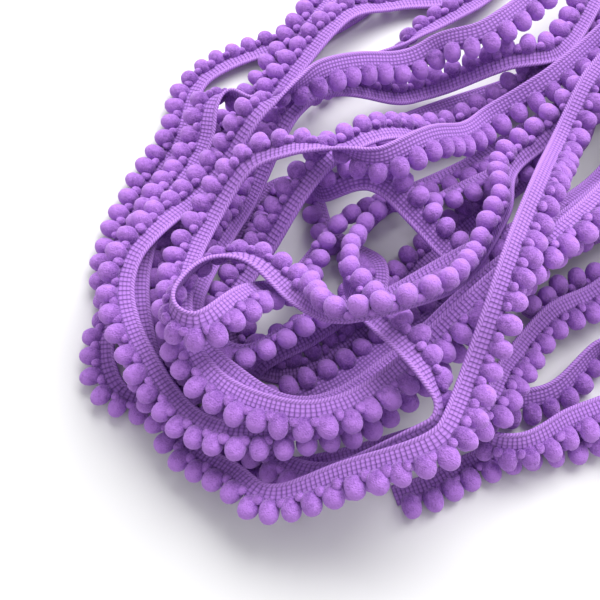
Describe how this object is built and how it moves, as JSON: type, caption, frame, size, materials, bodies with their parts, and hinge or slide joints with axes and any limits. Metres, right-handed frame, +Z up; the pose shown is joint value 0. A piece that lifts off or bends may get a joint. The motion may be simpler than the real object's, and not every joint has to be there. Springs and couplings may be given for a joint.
{
  "type": "pompom fringe trim",
  "caption": "A long narrow knitted tape edged with a row of small soft pompoms, wound loosely by hand into a flat oval heap; sewn on as an edging.",
  "frame": {"origin": "the middle of the heap in plan, on the surface that it lies on", "axes": "+Z up; +Y along the heap's long way, from the rounded front end with the cut end towards the far ends of the coils; +X to the right"},
  "size_m": [0.2154, 0.2552, 0.0501],
  "materials": {
    "tape": "matt knitted yarn, lilac purple",
    "fringe": "soft brushed yarn pile, lilac purple"
  },
  "bodies": {
    "root": {"tape": "tape", "fringe": "fringe"}
  },
  "joints": []
}
